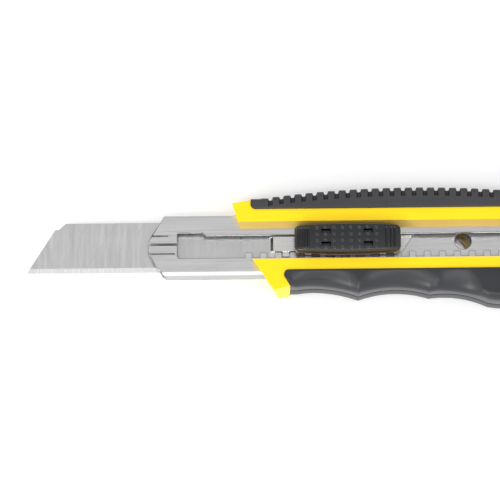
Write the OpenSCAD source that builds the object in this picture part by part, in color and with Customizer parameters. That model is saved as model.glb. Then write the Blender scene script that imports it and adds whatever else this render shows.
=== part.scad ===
// Snap-off utility knife, 18 mm. It lies on its back: +Z towards the thumb button, the blade
// points along -X with its cutting edge towards -Y, and z = 0 is the flat back of the handle.

/* [Blade] */
// Width of the blade from back to cutting edge
blade_w = 18; // [12:0.5:22]
// Overall length of the blade, slants included
blade_len = 100; // [96:1:104]
// Thickness of the blade
blade_t = 0.5; // [0.4:0.1:0.7]
// Distance between two score lines
segment_pitch = 10; // [6:1:12]
// Number of score lines
segment_count = 7; // [4:1:8]
// Angle between the score lines and the cutting edge
slant_deg = 57.5; // [50:0.5:65]
// Height of the ground bevel along the cutting edge
bevel_w = 1.7; // [1:0.1:3]
// Distance from the channel's nose to the blade tip at rest
blade_out = 42.6; // [20:0.2:44]
// Radius of the hole that the holder's stud passes through
blade_hole_r = 1.6; // [1.2:0.1:2.2]
// How far the blade sits above the channel's centre line
blade_y = 0.55; // [0:0.05:0.6]

/* [Channel] */
// X of the channel's nose
nose_x = -98.5; // [-110:0.5:-90]
// Thickness of the channel's sheet steel
sheet_t = 1; // [0.8:0.1:1.2]
// Outer depth of the channel along Z
channel_d = 5; // [4.8:0.1:5.6]
// Outer bend radius along the back of the channel; the cutting edge side is fully round
bend_r = 1.4; // [1.3:0.1:1.6]
// Length of the closed nose in front of the window
nose_len = 10.2; // [8:0.2:14]
// Y of the upper edge of the window along the handle
window_top = 3.8; // [3.6:0.05:4.4]
// Y of the lower edge of the window
window_bottom = -4.35; // [-5:0.05:-3.8]
// Distance between two lock teeth
tooth_pitch = 5.2; // [4.6:0.1:6.4]
// Width of one lock tooth
tooth_w = 2.5; // [2:0.1:2.8]
// Height of one lock tooth
tooth_h = 1.9; // [1.4:0.05:2.3]
// Number of lock teeth
tooth_count = 19; // [14:1:19]
// Radius of the round hole in the channel's floor
floor_hole_r = 2.9; // [2:0.1:3.2]
// X of the round hole in the channel's floor
floor_hole_x = 11.7; // [6:0.5:20]
// Y of the round hole in the channel's floor
floor_hole_y = 1.9; // [-1:0.1:2.4]

/* [Handle] */
// Thickness of the closed handle from back to front
handle_t = 15; // [14:0.5:17]
// X where the shells end and the end cap starts
shell_end = 50; // [48:1:56]
// Length of the end cap behind the shells
cap_len = 19; // [14:1:26]
// Height of the arched top edge above the shell's core
crown_rise = 6.5; // [5:0.1:9]
// How far the arched top edge falls from its middle to the shells' end
crown_drop = 4.15; // [3:0.05:5]
// Thickness of the shell's back wall
back_wall = 2; // [1.6:0.1:2.4]
// Thickness of the shell walls above and below the channel
side_wall = 1.6; // [1.4:0.1:2.2]
// How far the slope of the slot's upper wall leans back
slot_slope = 1.8; // [0.5:0.1:2.4]
// Thickness of the soft grip where it lies over the lower rail
grip_skin = 1.7; // [1.2:0.1:2.2]
// How far the upper grip laps over the shell's core on the front face
upper_lap = 1; // [0:0.1:1.2]
// Width of the lower rail's bare strip beside the slot
rail_w = 4; // [3:0.1:5]
// How far the front grips stand proud of the front shell
grip_proud = 0.8; // [0:0.1:1.2]
// Distance between two ribs of the upper grip
rib_pitch = 3.86; // [3:0.1:5]
// Width of the gap between two ribs
rib_gap = 1.3; // [0.8:0.1:1.8]
// Depth of the gaps between the ribs
rib_depth = 1.1; // [0.5:0.1:1.8]

/* [Slider] */
// Length of the thumb button
button_len = 37; // [30:1:40]
// Width of the thumb button
button_w = 10.2; // [9:0.1:10.6]
// Height of the button's top above the front of the handle
button_rise = 4.6; // [3:0.1:6]
// How far the button presses down to free the lock
press_travel = 0.8; // [0.4:0.1:0.9]
// X of the front end of the thumb button at rest
button_x = -47.5; // [-50:0.5:-44]
// Number of studs in one column on the button
stud_rows = 4; // [3:1:5]
// Number of stud columns on the button
stud_cols = 8; // [5:1:8]

/* [Fasteners] */
// Radius of the shell screws' shanks
screw_r = 1.2; // [1:0.1:1.3]
// Radius of the shell screws' heads
screw_head_r = 2.1; // [1.8:0.1:2.2]
// Radius of the lanyard hole in the end cap
lanyard_r = 2.5; // [1.5:0.1:3]

/* [Clearances] */
// Gap around a piece that slides
slide_gap = 0.3; // [0.2:0.05:0.4]
// Gap around a piece that is seated
seat_gap = 0.1; // [0.05:0.05:0.2]

/* [Hidden] */
$fn = 48;
eps = 0.01;

// Levels along Z, worked upwards from the back of the handle
split_z = handle_t / 2;
boss_top = handle_t - grip_skin;
channel_z = split_z - 1;
floor_z = channel_z + sheet_t;
lip_top = channel_z + channel_d;
lip_z = lip_top - sheet_t;
blade_z = floor_z + seat_gap;
holder_z = blade_z + blade_t + seat_gap;
holder_t = 1;
spring_t = 0.4;
spring_z = lip_top - slide_gap - spring_t;
base_z = lip_top + slide_gap;
button_top = handle_t + button_rise;
button_plate = 2.5;
plate_z = button_top - button_plate;
base_top = plate_z - press_travel - 0.2;

// Distances across the handle
channel_w = blade_w + 2 * sheet_t + 3;
channel_half = channel_w / 2;
core_half = channel_half + seat_gap + side_wall;
slot_low = window_bottom - 1.35;
slot_high = window_top + 2.2;
button_y = (slot_low + slot_high) / 2 + 0.6;
crown_y = core_half + crown_rise;
upper_skin_y = core_half - upper_lap;
lower_skin_y = slot_low - rail_w;
back_skin_y = 3 - core_half;
magazine_half = blade_w / 2 + 0.4;

// Distances along the handle
slant_run = blade_w / tan(slant_deg);
tip_x = nose_x - blade_out;
window_x = nose_x + nose_len;
rear_x = shell_end + cap_len;
slot_end = shell_end - 10;
channel_end = slot_end + 1;
pin_x = tip_x + blade_len - slant_run / 2 - 6;
first_tooth_x = window_x + 23.6;
holder_front = button_x - 8.6;
holder_rear = button_x + button_len + 2;
boss_front = button_x + 16.5;
boss_rear = button_x + button_len - 2;
finger_gap = 3;
finger_x = first_tooth_x + (finger_gap - 1) * tooth_pitch + (tooth_w + tooth_pitch) / 2;
finger_w = tooth_pitch - tooth_w - 2 * 0.25;
leg_x = button_x + 8;
neck_low = window_bottom + tooth_h + 0.75;
neck_high = window_top - 0.75;
ramp_run = 1.3;
rivet_r = 1.2;
rivet_xs = [boss_front + 4, boss_rear - 4];
rivet_y = (neck_low + neck_high) / 2;

// Finger scoops under the lower grip: [x, depth below the core, radius] of each one
scoops = [[-41.7, 1.75, 46.1], [-12.4, 2.45, 37.7], [4.5, 3.95, 34.8]];
// Swell behind the scoops, in the same form
belly = [36, 8.6, 130];
// Arch of the top edge: its middle along X and its radius
crown_x = shell_end / 2 - 31;
crown_r = (shell_end - crown_x) ^ 2 / (2 * crown_drop) + crown_drop / 2;

// Boxes and steps shared by more than one part
screw_rear = shell_end - 5;
screw_spots = [
  [-63.6, core_half - 0.2], [-51.3, -core_half - 0.3], [screw_rear, core_half - 0.2],
  [screw_rear, -core_half - 1.8]
];
boss_r = 2.7;
step_h = 1.1;
screw_len = handle_t - 3;
plug_len = 5;
spare_front = shell_end - plug_len - 1 - blade_len;
spare_gap = 0.05;
bridge_z = channel_z - 1.5;
bridge_w = 4;
bridge_xs = [-50, -24, 0, 34];
slot_y = 1;

// Corner points of an arc about a centre
function arc(c, r, a0, a1, n) =
  [for (i = [0:n]) let (a = a0 + (a1 - a0) * i / n) c + r * [cos(a), sin(a)]];
function belly_y(x) = belly[2] - belly[1] - core_half - sqrt(belly[2] ^ 2 - (x - belly[0]) ^ 2);
function crown_at(x) = crown_y - crown_r + sqrt(crown_r ^ 2 - (x - crown_x) ^ 2);

// Extrudes a YZ outline along X
module along_x(x0, x1) {
  translate([x0, 0, 0])
    rotate([90, 0, 90])
      linear_extrude(x1 - x0) children();
}

module rounded_rect(size, r) {
  translate([r, 0]) square([size[0] - 2 * r, size[1]]);
  translate([0, r]) square([size[0], size[1] - 2 * r]);
  for (x = [r, size[0] - r], y = [r, size[1] - r]) translate([x, y]) circle(r = r);
}

// Front end of the handle from top to bottom
nose_line = [[-69.1, core_half + 1.4], [-66.3, 5.3], [-62.1, -5.7], [-54.3, -core_half - 4.3]];

// Silhouette of the closed handle, end cap included
module handle_outline() {
  tail_x0 = 22;
  tail_steps = 8;
  tail_r = 5;
  difference() {
    intersection() {
      polygon(concat(
        [[-69.1, crown_y + 3]], nose_line,
        [[-49.1, -core_half - 3], [-24.7, -core_half - 4.9], [0.1, -core_half - 4.3]],
        [for (i = [0:tail_steps])
          let (x = tail_x0 + (rear_x - tail_r - tail_x0) * i / tail_steps) [x, belly_y(x)]],
        arc([rear_x - tail_r, belly_y(rear_x) + tail_r + 1], tail_r, -60, 0, 6),
        arc([rear_x - tail_r, crown_at(rear_x) - tail_r], tail_r, 0, 70, 6),
        [[rear_x - tail_r - 2, crown_y + 3]]
      ));
      translate([crown_x, crown_y - crown_r]) circle(r = crown_r, $fn = 240);
    }
    for (s = scoops) translate([s[0], -core_half - s[1] - s[2]]) circle(r = s[2], $fn = 120);
  }
}

// Zone of the upper grip from the given lower limit, past the silhouette
module upper_grip_zone(limit, x1 = shell_end + 1) {
  corner_r = 1.8;
  x0 = -62.6;
  translate([x0, limit + corner_r]) square([x1 - x0, 12]);
  translate([x0 + corner_r, limit]) square([x1 - x0 - corner_r, 12]);
  translate([x0 + corner_r, limit + corner_r]) circle(r = corner_r);
}

// Zone of the lower grip from the given upper limit, past the silhouette
module lower_grip_zone(limit, x1 = shell_end + 1) {
  intersection() {
    polygon([
      [-49.1, -40], [-49.1, -core_half - 2.4], [-50.2, -core_half - 0.4],
      [-51.3, lower_skin_y - 2.1], [-51, lower_skin_y - 0.8], [-49.7, lower_skin_y],
      [x1, lower_skin_y], [x1, -40]
    ]);
    translate([-60, limit - 30]) square([x1 + 60, 30]);
  }
}

module upper_grip_area(limit) {
  intersection() {
    handle_outline();
    upper_grip_zone(limit, shell_end);
  }
}

module lower_grip_area(limit) {
  intersection() {
    handle_outline();
    lower_grip_zone(limit, shell_end);
  }
}

module screw_bosses(grow = 0) {
  intersection() {
    handle_outline();
    for (p = screw_spots) translate(p) circle(r = boss_r + grow);
  }
}

// Rigid part of a shell half between two levels, with its screw bosses
module shell_block(z0, z1, boss_z1) {
  translate([0, 0, z0]) {
    linear_extrude(z1 - z0) difference() {
      intersection() {
        handle_outline();
        translate([-80, -30]) square([80 + shell_end, 60]);
      }
      upper_grip_zone(core_half);
      lower_grip_zone(-core_half);
    }
    linear_extrude(boss_z1 - z0) screw_bosses();
  }
}

module channel_seat() {
  grow = seat_gap;
  translate([-80, -channel_half - grow, channel_z])
    cube([80 + channel_end + grow, 2 * (channel_half + grow), channel_d + grow]);
}

// Space behind the channel that the end cap's plug fits into
module tail_cavity() {
  translate([channel_end, -magazine_half, back_wall])
    cube([shell_end + 1 - channel_end, 2 * magazine_half, lip_top - back_wall]);
}

// Leans the handle's front end back towards z = 0
module nose_lean() {
  lean_deg = 7;
  for (i = [0:2]) {
    a = nose_line[i];
    along = nose_line[i + 1] - a;
    translate([a[0], a[1], handle_t])
      rotate([0, 0, atan2(along[1], along[0])])
        rotate([lean_deg, 0, 0])
          translate([-20, -20, -40]) cube([60, 20, 45]);
  }
}

module screw_hole(p) {
  translate([p[0], p[1], -1]) cylinder(r = screw_r, h = screw_len + 1);
}

module screw_pocket(p) {
  translate([p[0], p[1], -1]) cylinder(r = screw_head_r + seat_gap, h = 2.6);
}

module back_shell() {
  low_bridge_t = 0.6;
  color("gold")
    difference() {
      union() {
        difference() {
          shell_block(0, split_z, split_z);
          translate([spare_front - 1, -magazine_half, back_wall])
            cube([shell_end + 2 - spare_front, 2 * magazine_half, channel_z - back_wall + eps]);
        }
        for (x = bridge_xs)
          translate([x - bridge_w / 2, -magazine_half - eps, bridge_z])
            cube([bridge_w, 2 * magazine_half + 2 * eps, channel_z - bridge_z]);
        translate([floor_hole_x + 1.2, floor_hole_y, bridge_z])
          rotate([0, 0, 35])
            translate([-1, -magazine_half - 3, 0]) cube([2, 2 * magazine_half + 6, low_bridge_t]);
      }
      nose_lean();
      channel_seat();
      tail_cavity();
      translate([0, 0, -eps])
        linear_extrude(grip_skin + eps) difference() {
          lower_grip_zone(back_skin_y);
          screw_bosses();
        }
      for (p = screw_spots) {
        screw_hole(p);
        screw_pocket(p);
      }
    }
}

module front_shell() {
  color("yellow")
    difference() {
      shell_block(split_z, handle_t, boss_top);
      nose_lean();
      channel_seat();
      along_x(-80, slot_end)
        polygon([
          [slot_low, split_z - 1], [slot_low, handle_t + 1],
          [slot_high + slot_slope, handle_t + 1], [slot_high + slot_slope, handle_t],
          [slot_high, lip_top], [slot_high, split_z - 1]
        ]);
      translate([0, 0, handle_t - grip_skin])
        linear_extrude(grip_skin + 1) {
          lower_grip_zone(lower_skin_y);
          upper_grip_zone(upper_skin_y);
        }
      tail_cavity();
      for (p = screw_spots) screw_hole(p);
    }
}

module rib_gaps(z0, h) {
  first = -55.6;
  count = floor((shell_end - 2 - first) / rib_pitch);
  step = rib_pitch / crown_r * 180 / PI;
  start = (first - crown_x) / crown_r * 180 / PI;
  for (i = [0:count - 1])
    translate([crown_x, crown_y - crown_r, z0])
      rotate([0, 0, -(start + i * step)])
        translate([-rib_gap / 2, crown_r - rib_depth, 0]) cube([rib_gap, rib_depth + 2, h]);
}

module upper_grip(z0, z1, boss_z1) {
  difference() {
    translate([0, 0, z0]) linear_extrude(z1 - z0) upper_grip_area(core_half);
    translate([0, 0, z0 - 1]) linear_extrude(boss_z1 - z0 + 1) screw_bosses();
    rib_gaps(z0 - 1, z1 - z0 + 2);
  }
}

module back_upper_grip() {
  color("dimgray") upper_grip(0, split_z, split_z + 1);
}

module front_upper_grip() {
  color("dimgray") {
    upper_grip(split_z, boss_top, boss_top + 1);
    difference() {
      translate([0, 0, boss_top]) linear_extrude(grip_skin + grip_proud) upper_grip_area(upper_skin_y);
      rib_gaps(boss_top - 1, grip_skin + grip_proud + 2);
    }
  }
}

module back_lower_grip() {
  color("slategray") {
    linear_extrude(split_z) difference() {
      lower_grip_area(-core_half);
      screw_bosses();
    }
    linear_extrude(grip_skin) difference() {
      lower_grip_area(back_skin_y);
      screw_bosses();
    }
  }
}

module front_lower_grip() {
  color("slategray") {
    translate([0, 0, split_z]) linear_extrude(handle_t - grip_skin - split_z) difference() {
      lower_grip_area(-core_half);
      screw_bosses();
    }
    translate([0, 0, handle_t - grip_skin]) linear_extrude(grip_skin + grip_proud)
      lower_grip_area(lower_skin_y);
  }
}

// Plan of the channel with its pointed nose and rounded lower corner
module channel_outline() {
  r = 3.4;
  polygon(concat(
    [[nose_x + 6.1, channel_half + 1], [nose_x + 6.1, channel_half], [nose_x, 1.7],
     [nose_x, -2.7], [nose_x + 0.7, -3.1], [nose_x + 3, -7.7]],
    arc([nose_x + 4.4 + r, r - channel_half], r, 190, 270, 6),
    [[channel_end, -channel_half - 1], [channel_end, channel_half + 1]]
  ));
}

// Cross-section of the channel, or with an inset of the space inside it
module channel_section(inset) {
  depth = channel_d - 2 * inset;
  edge_r = depth / 2;
  back_r = bend_r - inset;
  edge_y = -channel_half + inset + edge_r;
  back_y = channel_half - inset - back_r;
  z0 = channel_z + inset;
  translate([edge_y, z0 + edge_r]) circle(r = edge_r);
  translate([edge_y, z0]) square([back_y - edge_y, depth]);
  translate([edge_y, z0 + back_r]) square([back_y + back_r - edge_y, depth - 2 * back_r]);
  for (z = [z0 + back_r, z0 + depth - back_r]) translate([back_y, z]) circle(r = back_r);
}

module window_outline() {
  r = 0.9;
  step_x = window_x + 8.9;
  nose_top = window_top + step_h;
  length = channel_end - window_x + 1;
  translate([window_x, window_bottom + r]) square([length, nose_top - window_bottom - 2 * r]);
  translate([window_x + r, window_bottom]) square([length, r]);
  translate([window_x + r, window_bottom + r]) circle(r = r);
  translate([window_x + r, nose_top - r]) circle(r = r);
  polygon([
    [window_x + r, window_top - 1], [window_x + r, nose_top], [step_x, nose_top],
    [step_x + 0.9, window_top], [step_x + 0.9, window_top - 1]
  ]);
}

// Window with its upper edge cut back to the lip behind the step
module window_cut() {
  step_x = window_x + 9.8;
  difference() {
    window_outline();
    translate([step_x, window_top]) square([channel_end, 3]);
    for (i = [0:tooth_count - 1])
      translate([first_tooth_x + i * tooth_pitch, window_bottom]) tooth_outline();
  }
}

module tooth_outline() {
  r = 0.5;
  translate([0, -1]) square([tooth_w, tooth_h + 1 - r]);
  translate([r, 0]) square([tooth_w - 2 * r, tooth_h]);
  for (x = [r, tooth_w - r]) translate([x, tooth_h - r]) circle(r = r);
}

module blade_channel() {
  line_w = 0.3;
  line_d = 0.2;
  color("silver")
    difference() {
      intersection() {
        along_x(nose_x, channel_end)
          difference() {
            channel_section(0);
            channel_section(sheet_t);
          }
        linear_extrude(handle_t) channel_outline();
      }
      translate([0, 0, lip_z - eps]) linear_extrude(sheet_t + 1) window_cut();
      translate([nose_x - 1, 0.36, lip_z - eps]) cube([nose_len + 2, 0.65, sheet_t + 1]);
      translate([nose_x - 1, -2.85, lip_top - line_d]) cube([nose_len, line_w, 1]);
      translate([nose_x + 1.5, 3.6, lip_top - line_d]) cube([5.4, line_w, 1]);
      translate([floor_hole_x, floor_hole_y, channel_z - 1]) cylinder(r = floor_hole_r, h = sheet_t + 2);
    }
}

module blade_outline() {
  half = blade_w / 2;
  polygon([
    [0, -half], [slant_run * 0.87, half - 2.3], [slant_run * 0.87 + 1.4, half - 2.2],
    [slant_run + 2.2, half], [blade_len, half], [blade_len - slant_run, -half]
  ]);
}

// One snap-off blade with its tip corner at the origin and its back face at z = 0
module snap_blade() {
  score_d = 0.08;
  score_w = 0.16;
  half = blade_w / 2;
  hole_x = blade_len - slant_run / 2 - 6;
  difference() {
    intersection() {
      along_x(0, blade_len)
        polygon([
          [half, 0], [half, blade_t], [bevel_w - half, blade_t], [-half, blade_t * 0.55],
          [-half, blade_t * 0.45], [bevel_w - half, 0]
        ]);
      linear_extrude(blade_t) blade_outline();
    }
    for (i = [1:segment_count])
      translate([i * segment_pitch, -half, blade_t - score_d])
        rotate([0, 0, slant_deg])
          translate([-1, -score_w / 2, 0]) cube([blade_w / sin(slant_deg) + 2, score_w, 1]);
    translate([hole_x, 0, -1]) cylinder(r = blade_hole_r, h = blade_t + 2);
  }
}

module blade() {
  color("lightsteelblue") translate([tip_x, blade_y, blade_z]) snap_blade();
}

module spare_blade(i) {
  color("lightsteelblue")
    translate([spare_front, 0, back_wall + spare_gap + i * (blade_t + spare_gap)]) snap_blade();
}

module spare_blade_1() {
  spare_blade(0);
}

module spare_blade_2() {
  spare_blade(1);
}

module spare_blade_3() {
  spare_blade(2);
}

// Bowed leaf between the spare blades and the bridges, with a slanted rear end
module magazine_spring() {
  low_z = back_wall + spare_gap + 3 * (blade_t + spare_gap) + 0.05;
  rise = bridge_z - low_z - 0.05 - 0.3;
  x0 = -40;
  x1 = floor_hole_x + 2;
  half = (x1 - x0) / 2;
  mid = (x0 + x1) / 2;
  steps = 16;
  leaf_t = 0.3;
  bow = [for (i = [0:steps]) let (u = -1 + 2 * i / steps) [mid + half * u, low_z + rise * (1 - u * u)]];
  top = [for (i = [steps:-1:0]) bow[i] + [0, leaf_t]];
  color("gainsboro")
    difference() {
      translate([0, 4, 0]) rotate([90, 0, 0]) linear_extrude(8) polygon(concat(bow, top));
      translate([x1 - 7, 4.5, 0]) rotate([0, 0, -40]) cube([20, 20, handle_t]);
    }
}

module blade_pin() {
  color("dimgray") {
    translate([pin_x, blade_y, blade_z + 0.05])
      cylinder(r = blade_hole_r - 0.1, h = holder_z + holder_t - blade_z - 0.05);
  }
}

module rivet_holes(r) {
  for (x = rivet_xs) translate([x, rivet_y, 0]) cylinder(r = r, h = handle_t + 10);
}

module blade_holder() {
  ramp_z0 = holder_z + holder_t / 2;
  ramp_z1 = spring_z - 0.05;
  half = blade_w / 2 - 0.6;
  lean = half / tan(slant_deg);
  color("silver")
    difference() {
      union() {
        translate([0, 0, holder_z]) linear_extrude(holder_t)
          polygon([
            [holder_front, half], [holder_front, -half + 2], [holder_front + 2, -half],
            [holder_rear - lean, -half], [holder_rear + lean, half]
          ]);
        translate([boss_front, neck_low, holder_z + holder_t])
          cube([boss_rear - boss_front, neck_high - neck_low, spring_z - holder_z - holder_t]);
        translate([0, neck_high, 0])
          rotate([90, 0, 0])
            linear_extrude(neck_high - neck_low) polygon([
              [holder_front, ramp_z0], [holder_front + ramp_run, ramp_z1],
              [holder_front + ramp_run + 0.6, ramp_z1], [holder_front + ramp_run + 0.6, ramp_z0]
            ]);
      }
      rivet_holes(rivet_r);
      translate([pin_x, blade_y, 0]) cylinder(r = blade_hole_r - 0.1, h = handle_t);
    }
}

module lock_spring() {
  front = holder_front + ramp_run;
  low = neck_low - 0.4;
  high = neck_high + 0.1;
  finger_low = window_bottom + 0.45;
  color("gainsboro")
    difference() {
      union() {
        translate([0, 0, spring_z]) linear_extrude(spring_t)
          polygon([
            [front, high], [front, low + 1.2], [front + 1, low], [boss_rear, low], [boss_rear, high]
          ]);
        translate([finger_x - finger_w / 2, finger_low, spring_z - 0.4])
          cube([finger_w, low - finger_low + 0.4, spring_t]);
        translate([finger_x - finger_w / 2, low, spring_z - 0.4])
          cube([finger_w, 0.4, spring_t + 0.2]);
      }
      rivet_holes(rivet_r);
    }
}

module slider_rivets() {
  color("gray")
    for (x = rivet_xs) {
      translate([x, rivet_y, holder_z]) cylinder(r = rivet_r, h = base_z + 1.2 - holder_z);
      translate([x, rivet_y, base_z + 1.2]) cylinder(r = rivet_r + 0.7, h = 0.7);
    }
}

// Places of the four prongs and windows, measured from the button's front end
function prong_spots() = [for (x = [9.6, 24.2], y = [2.2, -2.4]) [button_x + x, button_y + y]];
prong_size = [2.8, 1.1];
prong_top = button_top - 1.7;

module slider_base() {
  wall = 1;
  half = button_w / 2 - wall - seat_gap * 2;
  x0 = button_x + wall + seat_gap;
  x1 = button_x + button_len - wall - seat_gap;
  color("darkslategray")
    difference() {
      union() {
        translate([x0, button_y - half, base_z]) cube([x1 - x0, 2 * half, base_top - base_z]);
        translate([boss_front, neck_low, spring_z + spring_t])
          cube([boss_rear - boss_front, neck_high - neck_low, base_z - spring_z - spring_t]);
        for (p = prong_spots())
          translate([p[0], p[1] - prong_size[1] / 2, base_top])
            cube([prong_size[0], prong_size[1], prong_top - base_top]);
      }
      rivet_holes(rivet_r);
      for (x = rivet_xs) translate([x, rivet_y, base_z + 1.2]) cylinder(r = rivet_r + 0.8, h = 10);
      translate([leg_x - 0.3, button_y - 1.3, base_z - 1]) cube([4.6, 2.6, 10]);
    }
}

// Outline of the button with bowed long sides
module button_outline(inset) {
  bow_r = 300;
  mid = button_x + button_len / 2;
  half = button_w / 2 - inset;
  r = 1.6;
  intersection() {
    translate([button_x + inset, button_y - half]) rounded_rect([button_len - 2 * inset, 2 * half], r);
    translate([mid, button_y + half - bow_r]) circle(r = bow_r, $fn = 240);
    translate([mid, button_y - half + bow_r]) circle(r = bow_r, $fn = 240);
  }
}

module thumb_button() {
  wall = 1;
  skirt_z = base_z + press_travel + 0.4;
  stud_pitch_x = 2.95;
  stud_pitch_y = 2.3;
  stud_r = 0.45;
  color("black")
    difference() {
      union() {
        translate([0, 0, skirt_z]) linear_extrude(button_top - 0.4 - skirt_z) button_outline(0);
        translate([0, 0, button_top - 0.4]) linear_extrude(0.1) button_outline(0.5);
        for (i = [0:stud_cols - 1], j = [0:stud_rows - 1])
          translate([
            button_x + 8 + i * stud_pitch_x,
            button_y + (j - (stud_rows - 1) / 2) * stud_pitch_y,
            button_top - 0.5
          ]) cylinder(r = stud_r, h = 0.5, $fn = 16);
        translate([leg_x, button_y - 1, spring_z + spring_t + 0.05])
          cube([4, 2, plate_z - spring_z - spring_t]);
      }
      difference() {
        translate([button_x + wall, button_y - button_w / 2 + wall, skirt_z - 1])
          cube([button_len - 2 * wall, button_w - 2 * wall, plate_z - skirt_z + 1]);
        translate([leg_x, button_y - 1, 0]) cube([4, 2, button_top]);
      }
      for (p = prong_spots())
        translate([p[0] - 0.1, p[1] - prong_size[1] / 2 - 0.1, plate_z - 1])
          cube([prong_size[0] + 0.2, prong_size[1] + 0.2, button_plate + 2]);
      for (x = [1.6, 3.1, button_len - 5.4, button_len - 3.6])
        translate([button_x + x, button_y - 3.8, button_top - 0.9]) cube([0.7, 7.6, 1]);
    }
}

module shell_screws() {
  head_h = 1.2;
  color("dimgray")
    for (p = screw_spots)
      translate([p[0], p[1], 0])
        difference() {
          union() {
            translate([0, 0, 1.6]) cylinder(r = screw_r, h = screw_len - 1.6);
            translate([0, 0, 1.6 - head_h]) cylinder(r = screw_head_r, h = head_h);
          }
          for (a = [0, 90])
            rotate([0, 0, a]) translate([-1.2, -0.25, 0]) cube([2.4, 0.5, 1]);
        }
}

module end_cap() {
  snap_slot = [12, blade_w + 1, 1.4];
  plug_half = magazine_half - seat_gap * 2;
  plug_z0 = back_wall + seat_gap;
  plug_z1 = lip_top - seat_gap * 2;
  color("black")
    difference() {
      union() {
        linear_extrude(handle_t) intersection() {
          handle_outline();
          translate([shell_end, -40]) square([60, 80]);
        }
        difference() {
          translate([shell_end - plug_len, -plug_half, plug_z0])
            cube([plug_len + eps, 2 * plug_half, plug_z1 - plug_z0]);
          translate([shell_end - plug_len - 1, -plug_half + 2, plug_z0 - 1])
            cube([plug_len + 1, 2 * plug_half - 4, plug_z1 - plug_z0 + 2]);
        }
      }
      translate([rear_x - snap_slot[0], slot_y - snap_slot[1] / 2, handle_t / 2 - snap_slot[2] / 2])
        cube([snap_slot[0] + 10, snap_slot[1], snap_slot[2]]);
      translate([rear_x - 8, -core_half - 0.3, -1]) cylinder(r = lanyard_r, h = handle_t + 2);
    }
}

back_shell();
front_shell();
back_upper_grip();
front_upper_grip();
back_lower_grip();
front_lower_grip();
blade_channel();
blade();
blade_pin();
blade_holder();
lock_spring();
slider_rivets();
slider_base();
thumb_button();
spare_blade_1();
spare_blade_2();
spare_blade_3();
magazine_spring();
shell_screws();
end_cap();
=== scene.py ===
"""Looks of the snap-off utility knife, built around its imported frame. All lengths are in metres."""
import math

import bmesh
import bpy
from mathutils import Matrix, Vector
from mathutils.bvhtree import BVHTree


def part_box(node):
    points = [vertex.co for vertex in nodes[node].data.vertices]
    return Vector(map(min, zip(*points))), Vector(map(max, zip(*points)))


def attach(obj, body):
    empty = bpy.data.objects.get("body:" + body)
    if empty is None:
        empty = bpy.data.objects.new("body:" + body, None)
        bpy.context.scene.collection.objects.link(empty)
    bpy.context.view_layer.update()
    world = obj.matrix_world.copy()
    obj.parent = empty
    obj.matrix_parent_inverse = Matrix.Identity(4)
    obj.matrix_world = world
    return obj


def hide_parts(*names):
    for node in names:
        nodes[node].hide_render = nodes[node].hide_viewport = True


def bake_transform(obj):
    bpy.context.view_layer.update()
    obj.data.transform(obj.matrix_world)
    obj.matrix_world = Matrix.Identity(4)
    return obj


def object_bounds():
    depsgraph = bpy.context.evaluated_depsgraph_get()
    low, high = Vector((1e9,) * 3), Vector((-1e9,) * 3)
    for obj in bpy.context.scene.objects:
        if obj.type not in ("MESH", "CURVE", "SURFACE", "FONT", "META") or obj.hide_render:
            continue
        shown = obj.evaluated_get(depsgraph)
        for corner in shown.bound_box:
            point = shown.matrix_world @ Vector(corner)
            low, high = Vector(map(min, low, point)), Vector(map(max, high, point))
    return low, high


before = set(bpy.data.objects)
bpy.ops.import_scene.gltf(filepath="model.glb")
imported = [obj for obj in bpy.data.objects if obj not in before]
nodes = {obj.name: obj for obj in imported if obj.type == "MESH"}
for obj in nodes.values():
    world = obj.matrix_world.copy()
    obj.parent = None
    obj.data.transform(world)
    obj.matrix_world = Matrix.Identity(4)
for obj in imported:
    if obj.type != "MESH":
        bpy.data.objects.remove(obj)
cad_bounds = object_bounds()
MM = 0.001
BEVEL_W = 1.75 * MM
# Corners of a CAD node that lie closer than this are one corner
WELD = 0.002 * MM


# ---------------------------------------------------------------- materials

def new_material(name, color, roughness, metallic=0.0, coat=0.0, specular=0.5, sheen=0.0):
    mat = bpy.data.materials.new(name)
    mat.use_nodes = True
    shader = mat.node_tree.nodes["Principled BSDF"]
    shader.inputs["Base Color"].default_value = (*color, 1)
    shader.inputs["Roughness"].default_value = roughness
    shader.inputs["Metallic"].default_value = metallic
    shader.inputs["Coat Weight"].default_value = coat
    shader.inputs["Coat Roughness"].default_value = 0.08
    shader.inputs["Specular IOR Level"].default_value = specular
    shader.inputs["Sheen Weight"].default_value = sheen
    return mat, mat.node_tree, shader


def object_coords(tree, scale):
    """Object coordinates in metres times a per-axis scale, so that grain keeps its real size."""
    coord = tree.nodes.new("ShaderNodeTexCoord")
    mapping = tree.nodes.new("ShaderNodeMapping")
    mapping.inputs["Scale"].default_value = scale
    tree.links.new(coord.outputs["Object"], mapping.inputs["Vector"])
    return mapping.outputs["Vector"]


def noise(tree, scale, detail=4.0, roughness=0.6):
    tex = tree.nodes.new("ShaderNodeTexNoise")
    tex.inputs["Scale"].default_value = 1.0
    tex.inputs["Detail"].default_value = detail
    tex.inputs["Roughness"].default_value = roughness
    tree.links.new(object_coords(tree, scale), tex.inputs["Vector"])
    return tex.outputs["Fac"]


def spread(tree, value, low, high):
    """Maps a texture's middle range to the range low to high."""
    ramp = tree.nodes.new("ShaderNodeMapRange")
    ramp.inputs["From Min"].default_value = 0.3
    ramp.inputs["From Max"].default_value = 0.7
    ramp.inputs["To Min"].default_value = low
    ramp.inputs["To Max"].default_value = high
    tree.links.new(value, ramp.inputs["Value"])
    return ramp.outputs["Result"]


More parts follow.
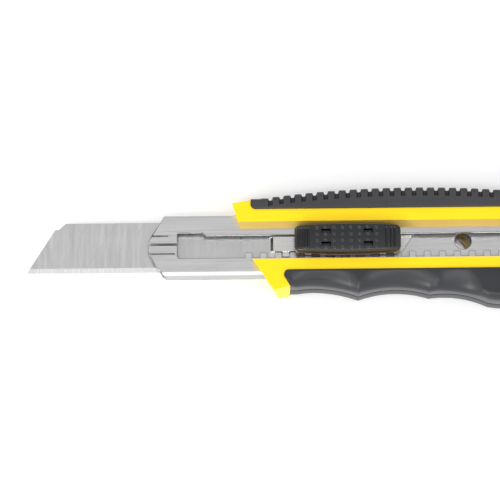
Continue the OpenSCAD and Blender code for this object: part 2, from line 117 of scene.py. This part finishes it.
def tint(tree, shader, value, dark, light):
    """Colours the shader between two colours by a texture."""
    ramp = tree.nodes.new("ShaderNodeValToRGB")
    ramp.color_ramp.elements[0].position = 0.3
    ramp.color_ramp.elements[1].position = 0.7
    ramp.color_ramp.elements[0].color = (*dark, 1)
    ramp.color_ramp.elements[1].color = (*light, 1)
    tree.links.new(value, ramp.inputs["Fac"])
    tree.links.new(ramp.outputs["Color"], shader.inputs["Base Color"])


def bump(tree, shader, value, strength, depth):
    node = tree.nodes.new("ShaderNodeBump")
    node.inputs["Strength"].default_value = strength
    node.inputs["Distance"].default_value = depth
    tree.links.new(value, node.inputs["Height"])
    tree.links.new(node.outputs["Normal"], shader.inputs["Normal"])


def scaled(color, factor):
    return tuple(min(1.0, c * factor) for c in color)


def plastic(name, color, roughness, grain=0.00002, coat=0.0, vary=0.04, specular=0.5):
    """Moulded plastic: faint flow marks in the colour and a fine texture."""
    mat, tree, shader = new_material(name, color, roughness, coat=coat, specular=specular)
    flow = noise(tree, (60, 120, 120), detail=3)
    tint(tree, shader, flow, scaled(color, 1 - vary), scaled(color, 1 + vary))
    fine = noise(tree, (2600, 2600, 2600), detail=2)
    tree.links.new(spread(tree, flow, roughness * 0.9, roughness * 1.12), shader.inputs["Roughness"])
    bump(tree, shader, fine, 0.25, grain)
    return mat


def rubber(name, color, roughness):
    """Soft grip rubber: a fine spark-eroded grain with slightly lighter rubbed patches."""
    mat, tree, shader = new_material(name, color, roughness, specular=0.4)
    rubbed = noise(tree, (45, 90, 90), detail=5)
    tint(tree, shader, rubbed, scaled(color, 0.9), scaled(color, 1.14))
    grain = noise(tree, (3800, 3800, 3800), detail=3)
    tree.links.new(spread(tree, grain, roughness * 0.86, roughness * 1.14), shader.inputs["Roughness"])
    bump(tree, shader, grain, 0.5, 0.00005)
    return mat


def steel(name, color, roughness, stretch, vary=0.08, marks=0.3, grain=0.00001):
    """Steel with lines drawn along one axis. stretch is the line frequency along X, Y and Z."""
    mat, tree, shader = new_material(name, color, roughness, metallic=1.0)
    lines = noise(tree, stretch, detail=6, roughness=0.7)
    cloud = noise(tree, (70, 140, 140), detail=3)
    mix = tree.nodes.new("ShaderNodeMath")
    mix.operation = "MULTIPLY_ADD"
    mix.inputs[1].default_value = 0.65
    half = tree.nodes.new("ShaderNodeMath")
    half.operation = "MULTIPLY"
    half.inputs[1].default_value = 0.35
    tree.links.new(cloud, half.inputs[0])
    tree.links.new(lines, mix.inputs[0])
    tree.links.new(half.outputs[0], mix.inputs[2])
    tint(tree, shader, mix.outputs[0], scaled(color, 1 - vary), scaled(color, 1 + vary))
    tree.links.new(spread(tree, lines, roughness * 0.8, roughness * 1.25), shader.inputs["Roughness"])
    bump(tree, shader, lines, marks, grain)
    return mat


def set_material(obj, mat):
    obj.data.materials.clear()
    obj.data.materials.append(mat)


YELLOW = plastic("yellow_plastic", (0.98, 0.68, 0.008), 0.34, vary=0.02, specular=0.3)
# Darker, greyer yellow for the slot's sloped inner wall: painted shade and painted reflection on the same
# yellow plastic.
YELLOW_PAINTED_SHADE_AND_REFLECTION = plastic("yellow_painted_shade_and_reflection", (0.68, 0.47, 0.12), 0.3, vary=0.03)
UPPER_RUBBER = rubber("upper_rubber", (0.038, 0.038, 0.041), 0.52)
LOWER_RUBBER = rubber("lower_rubber", (0.028, 0.029, 0.033), 0.32)
BLACK = plastic("black_plastic", (0.012, 0.013, 0.015), 0.22, grain=0.00003, coat=0.1, vary=0.1)
# Glossier black for the button's sides; its warm brown tint is a painted reflection of the yellow rails.
GLOSS_PAINTED_REFLECTION = plastic("gloss_plastic_painted_reflection", (0.04, 0.016, 0.003), 0.12, grain=0.00001, coat=0.3, vary=0.1)
# Near-black and matt: painted shade for the closed floors of the button's window pockets.
HOLE_PAINTED_SHADE = plastic("hole_painted_shade", (0.002, 0.002, 0.002), 0.9, specular=0.0)
CAP = plastic("cap_plastic", (0.028, 0.028, 0.031), 0.45, grain=0.00005, vary=0.1)
CHANNEL = steel("channel_steel", (0.7, 0.7, 0.7), 0.3, (30, 1600, 1600), vary=0.07)
BLADE = steel("blade_steel", (0.64, 0.64, 0.64), 0.33, (900, 60, 900), vary=0.06)
# Darker steel for the channel's downward-facing side: the darker colour is painted shade; the higher
# roughness is its own finish.
CHANNEL_SIDE_PAINTED_SHADE = steel("channel_side_painted_shade", (0.5, 0.5, 0.5), 0.4, (30, 900, 900), vary=0.1)
BEVEL = steel("bevel_steel", (0.78, 0.79, 0.8), 0.22, (2600, 40, 40), vary=0.14, marks=0.5)
CARRIER = steel("carrier_steel", (0.78, 0.77, 0.75), 0.32, (60, 1300, 1300), vary=0.08)
SPRING = steel("spring_steel", (0.8, 0.79, 0.77), 0.25, (80, 1500, 1500), vary=0.08)
# Darker steel inside the score grooves: the darker colour is painted shade; the higher roughness is the
# groove's own finish.
SCORE_PAINTED_SHADE = steel("score_line_painted_shade", (0.58, 0.58, 0.58), 0.45, (500, 500, 500), vary=0.1)
# Dark brown metal look: painted shade for the back shell's yellow rib, seen through the hole in the channel
# floor.
RIB_PAINTED_SHADE = steel("rib_painted_shade", (0.26, 0.18, 0.09), 0.35, (400, 400, 400), vary=0.2)
# Near-white steel for the channel's upright walls: painted highlight.
WALL_PAINTED_HIGHLIGHT = steel("wall_painted_highlight", (0.95, 0.95, 0.95), 0.4, (900, 900, 900), vary=0.05)
# Dark steel for the channel's rounded edges: painted shade outlines.
EDGE_PAINTED_SHADE = steel("edge_painted_shade", (0.2, 0.2, 0.205), 0.4, (900, 900, 900), vary=0.15)
# Dark steel for the pins, rivets and screws; also painted shade on the holder's sloped front end.
DARK_STEEL_AND_PAINTED_SHADE = steel("dark_steel", (0.16, 0.16, 0.165), 0.35, (700, 700, 700), vary=0.15)

FINISH = {
    "back_shell": YELLOW, "front_shell": YELLOW, "back_upper_grip": UPPER_RUBBER,
    "front_upper_grip": UPPER_RUBBER, "back_lower_grip": LOWER_RUBBER, "front_lower_grip": LOWER_RUBBER,
    "blade_channel": CHANNEL, "blade": BLADE, "blade_pin": DARK_STEEL_AND_PAINTED_SHADE, "blade_holder": CARRIER,
    "lock_spring": SPRING, "slider_rivets": DARK_STEEL_AND_PAINTED_SHADE, "slider_base": BLACK, "thumb_button": BLACK,
    "spare_blade_1": BLADE, "spare_blade_2": BLADE, "spare_blade_3": BLADE,
    "magazine_spring": SPRING, "shell_screws": DARK_STEEL_AND_PAINTED_SHADE, "end_cap": CAP,
}


# ---------------------------------------------------------------- mesh helpers

def finish_mesh(name, bm, mat, sharp_deg=38):
    bmesh.ops.remove_doubles(bm, verts=bm.verts, dist=1e-6)
    bmesh.ops.recalc_face_normals(bm, faces=bm.faces)
    for face in bm.faces:
        face.smooth = True
    for edge in bm.edges:
        edge.smooth = not (len(edge.link_faces) == 2 and edge.calc_face_angle(0) > math.radians(sharp_deg))
    mesh = bpy.data.meshes.new(name)
    bm.to_mesh(mesh)
    bm.free()
    obj = bpy.data.objects.new(name, mesh)
    bpy.context.scene.collection.objects.link(obj)
    set_material(obj, mat)
    return obj


def loft(name, rings, mat, sharp_deg=38):
    """Closed skin through rings of points that all have the same count."""
    bm = bmesh.new()
    rows = [[bm.verts.new(p) for p in ring] for ring in rings]
    count = len(rows[0])
    for a, b in zip(rows, rows[1:]):
        for i in range(count):
            bm.faces.new((a[i], a[(i + 1) % count], b[(i + 1) % count], b[i]))
    bm.faces.new(rows[0])
    bm.faces.new(list(reversed(rows[-1])))
    return finish_mesh(name, bm, mat, sharp_deg)


def soften_cad(name, width, segments=3, angle=35):
    """Rounds a CAD node's sharp edges with modifiers, leaving its mesh as it is: its faces are joined,
    flat ones merged, the edges rounded and the shading evened out."""
    obj = nodes[name]
    for poly in obj.data.polygons:
        poly.use_smooth = True
    weld = obj.modifiers.new("join_faces", "WELD")
    weld.merge_threshold = WELD
    flats = obj.modifiers.new("flat_faces", "DECIMATE")
    flats.decimate_type = "DISSOLVE"
    flats.angle_limit = math.radians(0.5)
    flats.delimit = {"MATERIAL"}
    bevel = obj.modifiers.new("round_edges", "BEVEL")
    bevel.width = width
    bevel.segments = segments
    bevel.limit_method = "ANGLE"
    bevel.angle_limit = math.radians(angle)
    bevel.use_clamp_overlap = True
    even = obj.modifiers.new("even_shading", "WEIGHTED_NORMAL")
    even.weight = 60
    return obj


def paint_faces(name, mat, wanted):
    """Gives a second material to the faces of a CAD node for which wanted(face) holds."""
    mesh = nodes[name].data
    mesh.materials.append(mat)
    index = len(mesh.materials) - 1
    for face in mesh.polygons:
        if wanted(face):
            face.material_index = index


def paint_blade(name):
    """The ground bevel is brighter than the blade's flats, and the score lines are darker: painted shade in
    the grooves.
    """
    low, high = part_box(name)
    thick = high.z - low.z
    edge_y = low.y + BEVEL_W

    def on_bevel(face):
        return face.center.y < edge_y and abs(face.normal.y) < 0.6 and abs(face.normal.z) < 0.9999

    def in_score(face):
        mid = low.z + 0.5 * thick
        wall = abs(face.normal.z) < 0.1 and face.center.z > mid
        shallow = abs(face.normal.z) > 0.999 and mid < face.center.z < high.z - 0.01 * MM
        inside = low.x + 4 * MM < face.center.x < high.x - 4 * MM
        return inside and (shallow or wall) and low.y + 0.1 * MM < face.center.y < high.y - 0.1 * MM

    paint_faces(name, BEVEL, on_bevel)
    paint_faces(name, SCORE_PAINTED_SHADE, in_score)


# ---------------------------------------------------------------- soft grips

# Real sizes of the grips' details
RIB_PITCH = 3.86 * MM
RIB_FIRST = -55.6 * MM
RIB_HALF = 0.42 * MM
RIB_RAMP = 0.42 * MM
RIB_DEPTH = 1.05 * MM
RIB_REACH = 3.3 * MM
LIP = 0.45 * MM
SEAM = 0.28 * MM
# Thickness over the rail, and gaps to the other half and to the core
SKIN = 1.4 * MM
SPLIT_GAP = 0.01 * MM
CORE_GAP = 0.05 * MM
# Length over which the front end's rounded corner fades out
CORNER_FADE = 14 * MM
# How much longer and deeper the rounding is in the middle of a scoop
SCOOP_REACH = 5.6 * MM
SCOOP_DROP = 1.6 * MM
# Finger scoops under the lower grip: place and half width of each one
SCOOPS = ((-37.5 * MM, 12.8 * MM), (-11 * MM, 14.6 * MM), (9.5 * MM, 8 * MM))


class Node:
    """A CAD node's surface, which answers where its outside lies."""

    def __init__(self, name):
        obj = nodes[name]
        self.low, self.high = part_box(name)
        self.tree = BVHTree.FromPolygons([v.co.copy() for v in obj.data.vertices],
                                         [p.vertices[:] for p in obj.data.polygons])

    def side(self, x, z, sign):
        """Y of the outermost surface towards sign at x and z, or None."""
        hit = self.tree.ray_cast(Vector((x, sign, z)), Vector((0, -sign, 0)))[0]
        return hit.y if hit else None


def smooth(t):
    t = max(0.0, min(1.0, t))
    return t * t * (3 - 2 * t)


def groove_depth(x, x_end):
    """How deep the gaps between the ribs are at x, from 0 on a rib to 1 in a gap."""
    turn = round((x - RIB_FIRST) / RIB_PITCH)
    if turn < 0 or RIB_FIRST + turn * RIB_PITCH > x_end - 2 * MM:
        return 0.0
    off = abs(x - RIB_FIRST - turn * RIB_PITCH)
    return smooth((RIB_HALF + RIB_RAMP - off) / RIB_RAMP)


def scoop_profile(t, scoop):
    """Drop of the face at t from the start of the rounding (0) to the silhouette (1)."""
    slope = 0.24 * scoop
    return slope * (1 - (1 - t) ** 2) + (1 - slope) * (1 - math.sqrt(max(0.0, 1 - t ** 2.2)))


def rib_stations(x0, x1):
    """X stations of the upper grip, close together where a rib's side rises."""
    wide = RIB_HALF + RIB_RAMP
    steps = [0.0, RIB_PITCH / 2 - 0.5 * MM, RIB_PITCH / 2 + 0.5 * MM]
    for side in (-1, 1):
        steps += [side * (RIB_HALF + RIB_RAMP * f) for f in (-0.6, 0.0, 0.3, 0.5, 0.7, 1.0)]
        steps += [side * (wide + 0.25 * MM)]
    xs = {round(x0 + 0.3 * MM * i, 7) for i in range(16)}
    centre = RIB_FIRST
    while centre < x1 - 2 * MM:
        xs.update(round(centre + s, 7) for s in steps)
        centre += RIB_PITCH
    return sorted(x for x in xs | {x1 - 0.3 * MM, x1} if x0 <= x <= x1)


def scoop_depth(x):
    """How far the finger scoops reach up the face at x, from 0 at a cusp to 1 mid-scoop."""
    return max(max(0.0, 1 - ((x - place) / half) ** 2) for place, half in SCOOPS)


def profile(edge, sil, sign, face_z, split_z, out, round_y, round_z, core, reach, scoop):
    """Half of a grip's cross-section as (y, z, cut_y, cut_z): from its edge on the face, round to
    the side, to the split plane and back along the core. out is +1 on the front half and -1 on the
    back half; sign is +1 above the blade and -1 below; the cuts are a rib gap's direction."""
    points = [(edge, face_z - out * SKIN, 0, 0)]
    for i in range(5):
        a = math.pi / 8 * i
        points.append((edge + sign * LIP * (1 - math.cos(a)), face_z - out * LIP * (1 - math.sin(a)), 0, 0))
    flat_end = sil - sign * round_y
    start = sil - sign * reach
    room = (start - edge) * sign - LIP
    points += [(edge + sign * (LIP + room * f), face_z, 0, 0) for f in (0.4, 0.8, 0.97)]
    span = (flat_end - start) * sign
    if span > 0:
        points += [(start + sign * span * f, face_z, 0, 1) for f in (0.12, 0.6)]
    for i in range(17):
        a = math.pi / 2 * i / 16
        y = flat_end + sign * round_y * math.sin(a)
        drop = 1 - math.cos(a)
        if scoop is not None:
            drop = scoop_profile(math.sin(a), scoop)
        points.append((y, face_z - out * round_z * drop, math.sin(a), math.cos(a)))
    points += [(sil, split_z + out * SEAM * 2.6, 1, 0),
               (sil - sign * SEAM * 0.3, split_z + out * SEAM * 1.2, 1, 0),
               (sil - sign * SEAM, split_z + out * SEAM * 0.5, 1, 0),
               (sil - sign * SEAM * 1.3, split_z + out * SPLIT_GAP, 0.6, 0)]
    points += [(core + sign * CORE_GAP, split_z + out * SPLIT_GAP, 0, 0),
               (core + sign * CORE_GAP, face_z - out * SKIN, 0, 0)]
    return points


def outer_line(node, x, z, sign):
    """The grip's silhouette at x with the rib gaps bridged."""
    found = [node.side(x + d, z, sign) for d in (-1.4 * MM, -0.7 * MM, 0, 0.7 * MM, 1.4 * MM)]
    found = [y for y in found if y is not None]
    return max(found, key=lambda y: y * sign) if found else None


def build_grip(name, sign, out, mat, ribbed, round_y, round_z, core, corner):
    """A soft grip that follows its CAD node's outline. corner gives how far the front end is set
    back at a height of 0 to 1 between edge and silhouette."""
    node = Node(name)
    front = out > 0
    face_z = node.high.z if front else node.low.z
    split_z = node.low.z if front else node.high.z
    probe_z = split_z + out * 1.0 * MM
    x0, x1 = node.low.x + 0.04 * MM, node.high.x - 0.04 * MM
    if ribbed:
        xs = rib_stations(x0, x1)
    else:
        xs = [x0 + (x1 - x0) * i / 200 for i in range(201)]
    edge = node.side((x0 + x1) / 2, face_z - out * 0.4 * MM, -sign)
    rings = []
    for x in xs:
        probe_x = min(max(x, x0 + 2.9 * MM), x1 - 0.1 * MM)
        if ribbed:
            sil = outer_line(node, probe_x, probe_z, sign)
            ry, rz, reach, scoop = round_y, round_z, RIB_REACH, None
        else:
            sil = node.side(probe_x, probe_z, sign)
            scoop = scoop_depth(x) if front else 0.0
            room = (sil - edge) * sign - LIP - 0.3 * MM
            ry = min(round_y + math.sqrt(scoop) * SCOOP_REACH, room)
            rz = round_z + scoop * SCOOP_DROP
            reach = ry
        ring = []
        set_back = smooth(1 - (x - x0) / CORNER_FADE)
        half_section = profile(edge, sil, sign, face_z, split_z, out, ry, rz, core, reach, scoop)
        for y, z, cut_y, cut_z in half_section:
            height = max(0.0, min(1.0, (y - edge) / (sil - edge)))
            px = x + corner(height) * set_back
            if ribbed:
                cut = groove_depth(px, x1) * RIB_DEPTH
                y -= sign * cut * cut_y
                z -= out * cut * cut_z * 1.5
            ring.append(Vector((px, y, z)))
        rings.append(ring)
    return loft(name + "_soft", rings, mat, 50)


def upper_corner(height):
    """Rounded front corner of the upper grip."""
    near = max(0.0, 1 - height / 0.4)
    return 1.8 * MM * (1 - math.sqrt(max(0.0, 1 - near * near)))


def lower_corner(height):
    """Front end of the lower grip: round at the top, a blunt nose, then back to the silhouette."""
    top = max(0.0, 1 - height / 0.2)
    back = max(0.0, height - 0.3)
    return 1.6 * MM * top * top + 3.0 * MM * back


def build_grips():
    channel_low, channel_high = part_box("blade_channel")
    core = (channel_high.y - channel_low.y) / 2 + 1.7 * MM
    for name, sign, out, mat, ribbed, ry, rz, corner in (
        ("front_upper_grip", 1, 1, UPPER_RUBBER, True, 1.7 * MM, 1.9 * MM, upper_corner),
        ("back_upper_grip", 1, -1, UPPER_RUBBER, True, 1.6 * MM, 1.6 * MM, upper_corner),
        ("front_lower_grip", -1, 1, LOWER_RUBBER, False, 2.6 * MM, 3.2 * MM, lower_corner),
        ("back_lower_grip", -1, -1, LOWER_RUBBER, False, 2.2 * MM, 2.6 * MM, lower_corner),
    ):
        piece = build_grip(name, sign, out, mat, ribbed, ry, rz, sign * core, corner)
        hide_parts(name)
        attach(piece, "handle")


# ---------------------------------------------------------------- thumb button

# Real sizes of the button's details, lengths along it measured from its front end
BUTTON_R = 1.6 * MM
BUTTON_BOW = 300 * MM
BUTTON_WALL = 1.0 * MM
BUTTON_PLATE = 2.5 * MM
EDGE_R = 0.75 * MM
STUD_PITCH = (2.95 * MM, 2.3 * MM)
STUD_FIRST = 8 * MM
STUD_RISE = 0.27 * MM
WINDOW_HALF = (1.6 * MM, 0.72 * MM)
WINDOWS = [(x * MM, y * MM) for x in (11.0, 25.6) for y in (2.2, -2.4)]
FRONT_RIBS = (1.5 * MM, 2.6 * MM, 3.7 * MM, 4.8 * MM)
REAR_RIBS = (2.1 * MM, 3.4 * MM, 5.0 * MM)
RIB_SPAN = 3.7 * MM
# Leg that presses on the lock spring: middle along the button, size, and gap at rest
LEG_PLACE = 10 * MM
LEG_SIZE = (3.4 * MM, 1.6 * MM)
LEG_GAP = 0.12 * MM


class Button:
    """Shape of the thumb button's top, worked out from the CAD node's box."""

    def __init__(self):
        low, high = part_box("thumb_button")
        self.x0, self.x1 = low.x + 0.02 * MM, high.x - 0.02 * MM
        self.mid = (self.x0 + self.x1) / 2
        self.yc = (low.y + high.y) / 2
        self.half = (high.y - low.y) / 2 - 0.02 * MM
        self.top = high.z
        self.leg_z = low.z

    def half_width(self, x, inset=0.0):
        """Half of the button's width at x, with bowed sides and round corners."""
        bow = self.half - inset - (x - self.mid) ** 2 / (2 * BUTTON_BOW)
        end = min(x - self.x0, self.x1 - x) - inset
        if end >= BUTTON_R:
            return bow
        return bow - BUTTON_R + math.sqrt(max(0.0, BUTTON_R ** 2 - (BUTTON_R - max(0.0, end)) ** 2))

    def in_window(self, dx, dy, grow=0.0):
        return any(abs(dx - x) < WINDOW_HALF[0] + grow and abs(dy - y) < WINDOW_HALF[1] + grow
                   for x, y in WINDOWS)

    def height(self, x, y):
        dx, dy, rear = x - self.x0, y - self.yc, self.x1 - x
        # Inside a window the top drops to a closed floor just above the ceiling; that floor is given
        # painted shade.
        if self.in_window(dx, dy):
            return self.top - BUTTON_PLATE + 0.05 * MM
        z = self.top - STUD_RISE - 0.35 * MM * (dy / self.half) ** 2
        z -= 1.0 * MM * max(0.0, 1 - dx / (5.6 * MM)) ** 1.5
        z -= 0.9 * MM * max(0.0, 1 - rear / (6.0 * MM)) ** 1.5
        inside = min(dx, rear, self.half_width(x) - abs(dy))
        if inside < EDGE_R:
            z -= EDGE_R - math.sqrt(max(0.0, EDGE_R ** 2 - (EDGE_R - inside) ** 2))
        reach = smooth((RIB_SPAN - abs(dy)) / (0.6 * MM))
        for place, spots in ((dx, FRONT_RIBS), (rear, REAR_RIBS)):
            for spot in spots:
                z -= 0.38 * MM * reach * smooth(1.5 - abs(place - spot) / (0.3 * MM))
        column = round((dx - STUD_FIRST) / STUD_PITCH[0])
        row = max(-1.5, min(1.5, round(dy / STUD_PITCH[1] - 0.5) + 0.5))
        if 0 <= column <= 7:
            away = math.hypot(dx - STUD_FIRST - column * STUD_PITCH[0], dy - row * STUD_PITCH[1])
            z += STUD_RISE * math.exp(-((away - 0.34 * MM) / (0.17 * MM)) ** 2)
        return z


def steps_between(low, high, step, extra=()):
    count = math.ceil((high - low) / step)
    values = {round(low + (high - low) * i / count, 8) for i in range(count + 1)}
    for value in extra:
        values.update((round(value - 0.03 * MM, 8), round(value + 0.03 * MM, 8)))
    return sorted(v for v in values if low <= v <= high)


def build_button():
    """Thumb button with ringed studs, ribbed ends, four windows and a hollow underside."""
    shape = Button()
    window_x = [shape.x0 + x + s * WINDOW_HALF[0] for x, _ in WINDOWS for s in (-1, 1)]
    window_y = [y + s * WINDOW_HALF[1] for _, y in WINDOWS for s in (-1, 1)]
    fine_ends = [shape.x0 + EDGE_R * f for f in (0.02, 0.08, 0.2, 0.4)]
    fine_ends += [shape.x1 - EDGE_R * f for f in (0.02, 0.08, 0.2, 0.4)]
    xs = sorted(set(steps_between(shape.x0, shape.x1, 0.16 * MM, window_x)) | set(fine_ends))
    inner = 3.4 * MM
    middle = steps_between(-inner, inner, 0.16 * MM, window_y)
    outer = (0.25, 0.45, 0.6, 0.72, 0.82, 0.9, 0.96, 0.99, 1.0)
    bm = bmesh.new()
    rows = []
    for x in xs:
        half = shape.half_width(x)
        squeeze = min(1.0, 0.85 * half / inner)
        side = [inner * squeeze + (half - inner * squeeze) * t for t in outer]
        ys = [-y for y in reversed(side)] + [y * squeeze for y in middle] + side
        rows.append([bm.verts.new((x, shape.yc + y, shape.height(x, shape.yc + y))) for y in ys])
    for a, b in zip(rows, rows[1:]):
        for i in range(len(a) - 1):
            bm.faces.new((a[i], b[i], b[i + 1], a[i + 1]))
    border = [row[0] for row in rows] + rows[-1][1:-1] + [row[-1] for row in reversed(rows)]
    border += list(reversed(rows[0][1:-1]))
    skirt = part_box("front_shell")[1].z - 2 * MM
    ceiling = shape.top - BUTTON_PLATE

    def ring(z, inset):
        """The border's outline at height z, drawn in towards the button's middle line."""
        made = []
        scale_x = 1 - inset / (shape.x1 - shape.mid)
        scale_y = 1 - inset / shape.half
        for v in border:
            made.append(bm.verts.new((shape.mid + (v.co.x - shape.mid) * scale_x,
                                      shape.yc + (v.co.y - shape.yc) * scale_y, z)))
        return made

    levels = [border, ring(skirt + 1.7 * MM, 0.0), ring(skirt + 1.55 * MM, 0.22 * MM),
              ring(skirt, 0.22 * MM), ring(skirt, BUTTON_WALL), ring(ceiling, BUTTON_WALL)]
    for a, b in zip(levels, levels[1:]):
        for i in range(len(a)):
            bm.faces.new((a[i], a[(i + 1) % len(a)], b[(i + 1) % len(a)], b[i]))
    bm.faces.new(levels[-1])
    leg = bmesh.ops.create_cube(bm, size=1)["verts"]
    leg_foot = shape.leg_z + LEG_GAP
    leg_size = Vector((*LEG_SIZE, ceiling - leg_foot + 0.1 * MM))
    for v in leg:
        v.co = Vector((shape.x0 + LEG_PLACE, shape.yc, leg_foot + leg_size.z / 2)) + v.co * leg_size
    piece = finish_mesh("thumb_button_studded", bm, BLACK, 42)
    piece.data.materials.append(HOLE_PAINTED_SHADE)
    piece.data.materials.append(GLOSS_PAINTED_REFLECTION)
    # The window pockets' floors are painted near-black: painted shade standing in for open holes.
    for face in piece.data.polygons:
        spot = face.center
        if (shape.in_window(spot.x - shape.x0, spot.y - shape.yc, 0.04 * MM)
                and spot.z < shape.top - 0.5 * MM):
            face.material_index = 1
        # The button's sides get the glossy plastic, tinted brown as a painted reflection of the yellow
        # rails.
        elif abs(face.normal.z) < 0.5 and spot.z < shape.top - EDGE_R:
            face.material_index = 2
    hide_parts("thumb_button")
    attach(piece, "button")


# ---------------------------------------------------------------- lock spring

def build_spring():
    """The lock spring cut into short lengths along its length; nothing here bends its front end down with
    the button.
    """
    low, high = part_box("lock_spring")
    bm = bmesh.new()
    bm.from_mesh(nodes["lock_spring"].data)
    bmesh.ops.remove_doubles(bm, verts=bm.verts, dist=WELD)
    cuts = 32
    for i in range(1, cuts):
        x = low.x + (high.x - low.x) * i / cuts
        bmesh.ops.bisect_plane(bm, geom=bm.verts[:] + bm.edges[:] + bm.faces[:],
                               plane_co=(x, 0, 0), plane_no=(1, 0, 0))
    piece = finish_mesh("lock_spring_leaf", bm, SPRING, 30)
    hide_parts("lock_spring")
    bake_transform(piece)


# ---------------------------------------------------------------- stage, lights and camera

def area_light(name, place, target, size, power, size_y=None):
    data = bpy.data.lights.new(name, "AREA")
    data.energy = power
    data.size = size
    if size_y:
        data.shape = "RECTANGLE"
        data.size_y = size_y
    obj = bpy.data.objects.new(name, data)
    bpy.context.scene.collection.objects.link(obj)
    obj.location = place
    obj.rotation_euler = (Vector(target) - Vector(place)).to_track_quat("-Z", "Y").to_euler()


def build_stage():
    floor_bm = bmesh.new()
    bmesh.ops.create_grid(floor_bm, x_segments=1, y_segments=1, size=3)
    bmesh.ops.translate(floor_bm, verts=floor_bm.verts, vec=(0, 0, cad_bounds[0][2] - 0.0001))
    mat, _, shader = new_material("floor_paper", (0.96, 0.96, 0.96), 0.85)
    shader.inputs["Emission Color"].default_value = (1, 1, 1, 1)
    shader.inputs["Emission Strength"].default_value = 0.1
    finish_mesh("floor", floor_bm, mat)
    world = bpy.data.worlds.new("studio")
    bpy.context.scene.world = world
    world.use_nodes = True
    tree = world.node_tree
    tree.nodes["Background"].inputs["Color"].default_value = (1, 1, 1, 1)
    split = tree.nodes.new("ShaderNodeSeparateXYZ")
    tree.links.new(tree.nodes.new("ShaderNodeTexCoord").outputs["Generated"], split.inputs[0])
    fade = tree.nodes.new("ShaderNodeMapRange")
    fade.inputs["From Min"].default_value = -0.2
    fade.inputs["From Max"].default_value = 0.3
    fade.inputs["To Min"].default_value = 1.15
    fade.inputs["To Max"].default_value = 0.6
    tree.links.new(split.outputs["Y"], fade.inputs["Value"])
    tree.links.new(fade.outputs["Result"], tree.nodes["Background"].inputs["Strength"])
    area_light("key", (-0.6, 0.55, 0.55), (-0.04, 0, 0), 0.4, 2.2)
    area_light("strip", (-0.03, -0.43, 1.12), (-0.03, 0, 0), 0.9, 2.0, 0.09)
    area_light("softbox", (-0.5, -0.75, 0.65), (-0.03, 0, 0), 0.34, 3.2)


def build_camera():
    """A long lens above the knife, tilted 15 degrees so that the lower sides show."""
    tilt = math.radians(15)
    roll = math.radians(0.6)
    distance = 1.2
    frame_width = 0.1748
    target = Vector((-62.94 * MM, -0.92 * MM, 9.0 * MM))
    data = bpy.data.cameras.new("camera")
    data.sensor_width = 36
    data.lens = data.sensor_width * distance / frame_width
    data.clip_end = 20
    obj = bpy.data.objects.new("camera", data)
    bpy.context.scene.collection.objects.link(obj)
    away = Vector((0, -math.sin(tilt), math.cos(tilt)))
    obj.location = target + away * distance
    turn = (-away).to_track_quat("-Z", "Y").to_matrix().to_4x4()
    obj.rotation_euler = (turn @ Matrix.Rotation(-roll, 4, "Z")).to_euler()
    bpy.context.scene.camera = obj


build_camera()
build_stage()
bpy.context.scene.view_settings.view_transform = "Standard"

for node_name, material in FINISH.items():
    set_material(nodes[node_name], material)
for blade_name in ("blade", "spare_blade_1", "spare_blade_2", "spare_blade_3"):
    paint_blade(blade_name)
# The holder's sloped front end is painted dark: painted shade for the gap in front of it.
paint_faces("blade_holder", DARK_STEEL_AND_PAINTED_SHADE, lambda face: face.normal.x < -0.3 and face.normal.z > 0.2)
channel_low, channel_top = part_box("blade_channel")
# The upright walls of the channel's window, teeth and nose are painted near-white: painted highlight lines.
paint_faces("blade_channel", WALL_PAINTED_HIGHLIGHT, lambda face: abs(face.normal.z) < 0.2 and abs(face.center.y) < 5.5 * MM
            and face.center.z > channel_top.z - 1.2 * MM)
# The channel's faces that point down towards the front get the darker steel: painted shade.
paint_faces("blade_channel", CHANNEL_SIDE_PAINTED_SHADE,
            lambda face: face.normal.y < -0.55 and face.center.y < channel_low.y + 2 * MM)
# The front shell's sloped wall above the slot gets the darker, greyer yellow: painted shade and painted
# reflection.
paint_faces("front_shell", YELLOW_PAINTED_SHADE_AND_REFLECTION, lambda face: -0.97 < face.normal.y < -0.6
            and 0.2 < face.normal.z and 4 * MM < face.center.y < 9 * MM)
# The back shell's diagonal rib beneath the channel floor's hole is painted dark brown: painted shade on
# yellow plastic.
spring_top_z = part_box("magazine_spring")[1].z
paint_faces("back_shell", RIB_PAINTED_SHADE, lambda face: abs(face.normal.z) > 0.99 and spring_top_z < face.center.z
            < spring_top_z + 1.2 * MM and 9 * MM < face.center.x < 17 * MM and abs(face.center.y) < 8 * MM)
build_grips()
build_button()
build_spring()
soften_cad("front_shell", 0.35 * MM)
soften_cad("back_shell", 0.35 * MM)
soften_cad("end_cap", 0.9 * MM)
channel_bevel = soften_cad("blade_channel", 0.16 * MM, 3).modifiers["round_edges"]
channel_bevel.use_clamp_overlap = False
# The channel's rounded edges get the dark steel: painted shade outlines along the sheet's edges.
nodes["blade_channel"].data.materials.append(EDGE_PAINTED_SHADE)
channel_bevel.material = len(nodes["blade_channel"].data.materials) - 1
